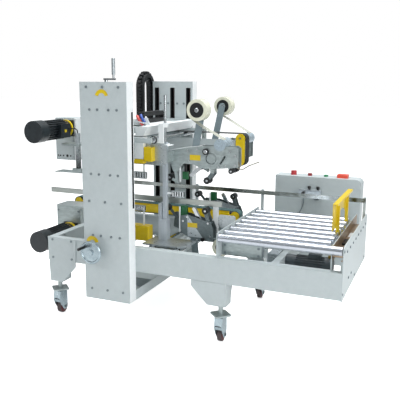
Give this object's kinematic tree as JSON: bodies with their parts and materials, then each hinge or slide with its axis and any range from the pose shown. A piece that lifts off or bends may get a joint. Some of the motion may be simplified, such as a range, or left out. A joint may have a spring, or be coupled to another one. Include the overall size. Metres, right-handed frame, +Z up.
{
  "type": "carton sealer",
  "caption": "Side-edge carton sealer on casters: gantry columns, belt drives above and below, tape heads on both sides and a right-angle infeed roller table with a pusher.",
  "frame": {"origin": "on the floor under the middle of the bounding box", "axes": "+Z up, +X along the lane against the travel of the cartons, towards the infeed roller table; +Y away from the handwheel side"},
  "size_m": [2.08, 1.32, 1.61],
  "materials": {
    "frame_paint": "satin",
    "column_paint": "satin",
    "bare_steel": "satin",
    "plated_steel": "gloss",
    "black_paint": "satin",
    "guard_yellow": "gloss",
    "belt_rubber": "matte",
    "chain_plastic": "matte",
    "tape": "satin",
    "wheel_rubber": "matte",
    "motor_grey": "satin"
  },
  "bodies": {
    "frame": {"long_beams": "frame_paint", "end_panel": "frame_paint", "cross_rails": "frame_paint", "gantry_base": "frame_paint", "leg_brackets": "frame_paint", "table_plates": "frame_paint", "table_bearers": "frame_paint", "cabinet": "frame_paint", "lower_drive_box": "frame_paint", "lower_belt_frame": "frame_paint", "columns": "column_paint", "roller_axles": "bare_steel", "pusher_track": "bare_steel", "fence": "bare_steel", "lower_rods": "bare_steel", "lower_far_head": "bare_steel", "caster_plates": "plated_steel", "lower_motor": "black_paint", "infeed_motor": "motor_grey", "lower_belt": "belt_rubber"},
    "crosshead_body": {"crosshead": "frame_paint", "slide_blocks": "bare_steel", "crosshead_cover": "frame_paint", "upper_belt": "belt_rubber", "upper_belt_frame": "frame_paint", "upper_drive_box": "frame_paint", "upper_motor": "black_paint", "upper_far_head": "bare_steel", "drag_chain": "chain_plastic", "hold_down": "bare_steel"},
    "upper_carriage": {"upper_near_carriage": "frame_paint", "upper_guards": "guard_yellow", "upper_near_head": "bare_steel"},
    "lower_carriage": {"lower_near_carriage": "frame_paint", "near_rail": "bare_steel", "lower_guard": "guard_yellow", "lower_near_head": "bare_steel"},
    "pusher_body": {"pusher": "guard_yellow"},
    "lift_screw_body": {"lift_screw": "bare_steel"},
    "handwheel_body": {"handwheel": "plated_steel"},
    "roller_1_body": {"roller_1": "plated_steel"},
    "roller_2_body": {"roller_2": "plated_steel"},
    "roller_3_body": {"roller_3": "plated_steel"},
    "roller_4_body": {"roller_4": "plated_steel"},
    "roller_5_body": {"roller_5": "plated_steel"},
    "roller_6_body": {"roller_6": "plated_steel"},
    "roller_7_body": {"roller_7": "plated_steel"},
    "roller_8_body": {"roller_8": "plated_steel"},
    "upper_near_reel_body": {"upper_near_reel": "tape"},
    "upper_far_reel_body": {"upper_far_reel": "tape"},
    "lower_near_reel_body": {"lower_near_reel": "tape"},
    "lower_far_reel_body": {"lower_far_reel": "tape"},
    "near_left_fork_body": {"near_left_fork": "plated_steel"},
    "near_left_wheel_body": {"near_left_wheel": "wheel_rubber"},
    "far_left_fork_body": {"far_left_fork": "plated_steel"},
    "far_left_wheel_body": {"far_left_wheel": "wheel_rubber"},
    "near_mid_fork_body": {"near_mid_fork": "plated_steel"},
    "near_mid_wheel_body": {"near_mid_wheel": "wheel_rubber"},
    "far_mid_fork_body": {"far_mid_fork": "plated_steel"},
    "far_mid_wheel_body": {"far_mid_wheel": "wheel_rubber"}
  },
  "joints": [
    {"name": "crosshead_lift", "type": "slide", "parent": "frame", "child": "crosshead_body", "axis": [0, 0, 1], "range_m": [-0.05, 0.15]},
    {"name": "lower_width", "type": "slide", "parent": "frame", "child": "lower_carriage", "axis": [0, 1, 0], "range_m": [-0.03, 0.12]},
    {"name": "upper_width", "type": "slide", "parent": "crosshead_body", "child": "upper_carriage", "axis": [0, 1, 0], "range_m": [-0.03, 0.12]},
    {"name": "push_stroke", "type": "slide", "parent": "frame", "child": "pusher_body", "axis": [-1, 0, 0], "range_m": [0, 0.5]},
    {"name": "lift_crank", "type": "hinge", "parent": "frame", "child": "lift_screw_body", "pos_m": [-0.333, -0.494, 1.495], "axis": [0, 0, 1], "continuous": true},
    {"name": "width_handwheel", "type": "hinge", "parent": "frame", "child": "handwheel_body", "pos_m": [-0.406, -0.6, 0.492], "axis": [0, 1, 0], "continuous": true},
    {"name": "roller_1_spin", "type": "hinge", "parent": "frame", "child": "roller_1_body", "pos_m": [0.644, -0.45, 0.631], "axis": [1, 0, 0], "continuous": true},
    {"name": "roller_2_spin", "type": "hinge", "parent": "frame", "child": "roller_2_body", "pos_m": [0.644, -0.351, 0.631], "axis": [1, 0, 0], "continuous": true},
    {"name": "roller_3_spin", "type": "hinge", "parent": "frame", "child": "roller_3_body", "pos_m": [0.644, -0.252, 0.631], "axis": [1, 0, 0], "continuous": true},
    {"name": "roller_4_spin", "type": "hinge", "parent": "frame", "child": "roller_4_body", "pos_m": [0.644, -0.153, 0.631], "axis": [1, 0, 0], "continuous": true},
    {"name": "roller_5_spin", "type": "hinge", "parent": "frame", "child": "roller_5_body", "pos_m": [0.644, -0.054, 0.631], "axis": [1, 0, 0], "continuous": true},
    {"name": "roller_6_spin", "type": "hinge", "parent": "frame", "child": "roller_6_body", "pos_m": [0.644, 0.045, 0.631], "axis": [1, 0, 0], "continuous": true},
    {"name": "roller_7_spin", "type": "hinge", "parent": "frame", "child": "roller_7_body", "pos_m": [0.644, 0.144, 0.631], "axis": [1, 0, 0], "continuous": true},
    {"name": "roller_8_spin", "type": "hinge", "parent": "frame", "child": "roller_8_body", "pos_m": [0.644, 0.243, 0.631], "axis": [1, 0, 0], "continuous": true},
    {"name": "upper_near_reel_spin", "type": "hinge", "parent": "upper_carriage", "child": "upper_near_reel_body", "pos_m": [0.132, -0.238, 1.322], "axis": [0, 1, 0], "continuous": true},
    {"name": "upper_far_reel_spin", "type": "hinge", "parent": "crosshead_body", "child": "upper_far_reel_body", "pos_m": [0.052, 0.399, 1.318], "axis": [0, 1, 0], "continuous": true},
    {"name": "lower_near_reel_spin", "type": "hinge", "parent": "lower_carriage", "child": "lower_near_reel_body", "pos_m": [0.102, -0.238, 0.366], "axis": [0, 1, 0], "continuous": true},
    {"name": "lower_far_reel_spin", "type": "hinge", "parent": "frame", "child": "lower_far_reel_body", "pos_m": [0.102, 0.262, 0.366], "axis": [0, 1, 0], "continuous": true},
    {"name": "near_left_swivel", "type": "hinge", "parent": "frame", "child": "near_left_fork_body", "pos_m": [-0.756, -0.424, 0.165], "axis": [0, 0, 1], "continuous": true},
    {"name": "near_left_roll", "type": "hinge", "parent": "near_left_fork_body", "child": "near_left_wheel_body", "pos_m": [-0.756, -0.41, 0.042], "axis": [1, 0, 0], "continuous": true},
    {"name": "far_left_swivel", "type": "hinge", "parent": "frame", "child": "far_left_fork_body", "pos_m": [-0.756, 0.344, 0.165], "axis": [0, 0, 1], "continuous": true},
    {"name": "far_left_roll", "type": "hinge", "parent": "far_left_fork_body", "child": "far_left_wheel_body", "pos_m": [-0.756, 0.358, 0.042], "axis": [1, 0, 0], "continuous": true},
    {"name": "near_mid_swivel", "type": "hinge", "parent": "frame", "child": "near_mid_fork_body", "pos_m": [0.354, -0.424, 0.165], "axis": [0, 0, 1], "continuous": true},
    {"name": "near_mid_roll", "type": "hinge", "parent": "near_mid_fork_body", "child": "near_mid_wheel_body", "pos_m": [0.354, -0.41, 0.042], "axis": [1, 0, 0], "continuous": true},
    {"name": "far_mid_swivel", "type": "hinge", "parent": "frame", "child": "far_mid_fork_body", "pos_m": [0.354, 0.344, 0.165], "axis": [0, 0, 1], "continuous": true},
    {"name": "far_mid_roll", "type": "hinge", "parent": "far_mid_fork_body", "child": "far_mid_wheel_body", "pos_m": [0.354, 0.358, 0.042], "axis": [1, 0, 0], "continuous": true}
  ],
  "couplings": [
    {"joint": "upper_width", "follows": "lower_width", "ratio": 1}
  ]
}
